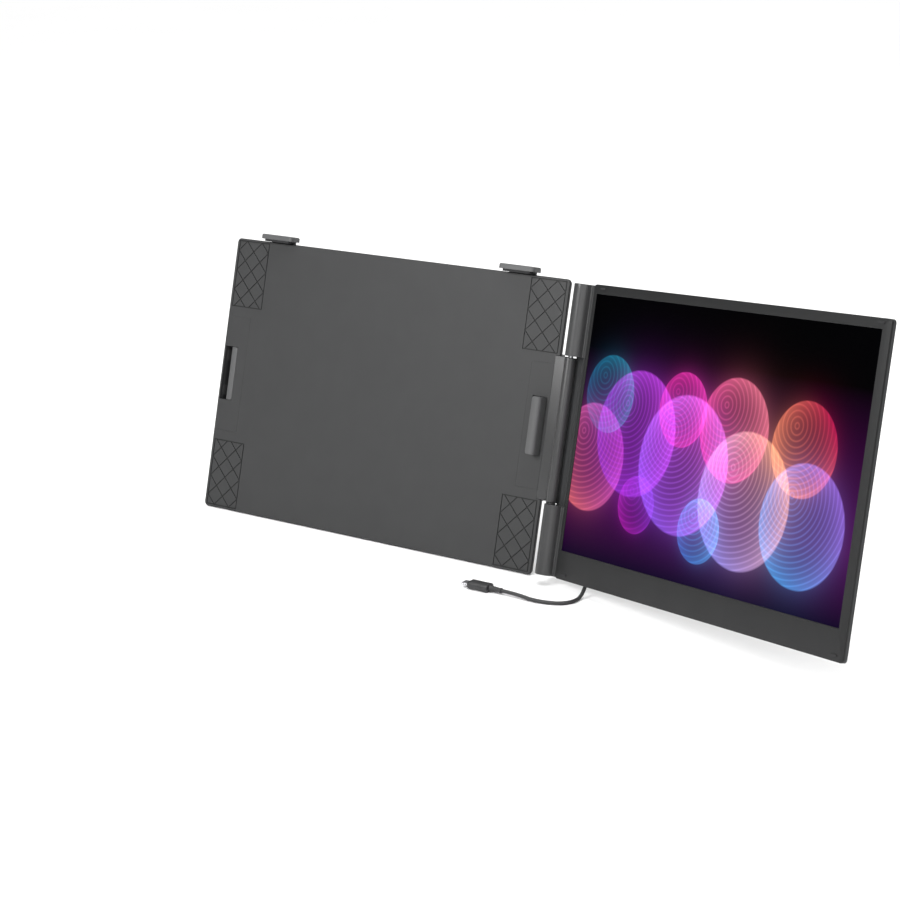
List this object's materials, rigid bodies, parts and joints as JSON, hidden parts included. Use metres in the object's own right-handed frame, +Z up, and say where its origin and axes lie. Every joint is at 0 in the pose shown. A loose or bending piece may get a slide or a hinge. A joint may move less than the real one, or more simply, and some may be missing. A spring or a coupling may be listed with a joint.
{
  "type": "portable monitor",
  "caption": "Clip-on portable monitor: a bracket that clips behind a notebook lid carries one wide screen on a swinging side hinge, with a short USB-C lead.",
  "frame": {"origin": "centre of the bracket's flat front face, where the notebook lid rests", "axes": "+X to the user's right along the bracket, +Y away from the user, +Z up; the bracket leans back 16.3 degrees in this frame"},
  "size_m": [0.7438, 0.2124, 0.2798],
  "materials": {
    "shell": "satin, finely grained",
    "clip_plastic": "satin",
    "hinge_cover": "satin",
    "bezel": "satin",
    "rear_shell": "satin, finely grained",
    "screen_glass": "satin, lit display",
    "rubber_pad": "matte",
    "steel": "brushed",
    "screw_black": "black oxide",
    "guide_plastic": "moulded",
    "circuit_board": "solder mask",
    "port_steel": "bright nickel",
    "key_plastic": "satin",
    "cable_sheath": "matte",
    "plug_plastic": "satin"
  },
  "bodies": {
    "bracket": {"bracket_front_cover": "shell", "bracket_back_cover": "shell", "bracket_screws": "screw_black", "side_module_right": "shell", "side_module_left": "shell", "top_clip_guides": "guide_plastic", "top_clip_springs": "steel", "hinge_leaf_front": "hinge_cover", "hinge_leaf_back": "hinge_cover", "hinge_arm_plate": "steel", "leaf_screws": "screw_black", "hinge_shaft_upper": "steel", "hinge_shaft_lower": "steel", "kickstand_pin": "steel"},
    "screen": {"front_bezel": "bezel", "rear_cover": "rear_shell", "lcd_panel": "screen_glass", "backlight_tray": "steel", "display_board": "circuit_board", "switch_board": "circuit_board", "barrel_cover_upper": "hinge_cover", "barrel_cover_lower": "hinge_cover", "hinge_clutch_upper": "steel", "hinge_clutch_lower": "steel", "clutch_screws": "screw_black", "screen_screws": "screw_black", "usb_c_ports": "port_steel", "mini_hdmi_port": "port_steel", "bumper_pads": "rubber_pad", "usb_cable": "cable_sheath", "plug_a_shell": "port_steel", "plug_a_overmould": "plug_plastic", "plug_a_strain_relief": "cable_sheath", "plug_b_shell": "port_steel", "plug_b_overmould": "plug_plastic", "plug_b_strain_relief": "cable_sheath"},
    "right_side_clip": {"side_clip_right": "clip_plastic", "side_clip_pad_right": "rubber_pad"},
    "left_side_clip": {"side_clip_left": "clip_plastic", "side_clip_pad_left": "rubber_pad"},
    "left_top_clip": {"top_clip_left": "clip_plastic", "top_clip_pad_left": "rubber_pad"},
    "right_top_clip": {"top_clip_right": "clip_plastic", "top_clip_pad_right": "rubber_pad"},
    "kickstand_leg": {"kickstand": "shell", "kickstand_foot": "rubber_pad"},
    "power_key": {"power_button": "key_plastic"},
    "menu_key": {"menu_rocker": "key_plastic"}
  },
  "joints": [
    {"name": "screen_hinge", "type": "hinge", "parent": "bracket", "child": "screen", "pos_m": [0.204, -0.00787, 0.0023], "axis": [0, 0.2807, 0.9598], "range_deg": [-159.3, 50]},
    {"name": "right_side_clip_slide", "type": "slide", "parent": "bracket", "child": "right_side_clip", "axis": [-0.5135, 0.8236, -0.2408], "range_m": [0, 0.01049]},
    {"name": "left_side_clip_slide", "type": "slide", "parent": "bracket", "child": "left_side_clip", "axis": [-0.5135, -0.8236, 0.2408], "range_m": [0, 0.01049]},
    {"name": "left_top_clip_slide", "type": "slide", "parent": "bracket", "child": "left_top_clip", "axis": [0, 0.2807, 0.9598], "range_m": [0, 0.022], "stiffness_N_per_m": 120, "springref_m": -0.008},
    {"name": "right_top_clip_slide", "type": "slide", "parent": "bracket", "child": "right_top_clip", "axis": [0, 0.2807, 0.9598], "range_m": [0, 0.022], "stiffness_N_per_m": 120, "springref_m": -0.008},
    {"name": "kickstand_hinge", "type": "hinge", "parent": "bracket", "child": "kickstand_leg", "pos_m": [0, 0.02584, 0.04527], "axis": [1, 0, 0], "range_deg": [0, 80]},
    {"name": "power_press", "type": "slide", "parent": "screen", "child": "power_key", "axis": [-0.9354, 0.3393, -0.0992], "range_m": [0, 0.0006], "stiffness_N_per_m": 300, "springref_m": -0.0005},
    {"name": "menu_rock", "type": "hinge", "parent": "screen", "child": "menu_key", "pos_m": [0.43948, -0.0874, 0.00472], "axis": [0.3535, 0.8978, -0.2625], "range_deg": [-4, 4], "stiffness_Nm_per_rad": 0.02}
  ]
}
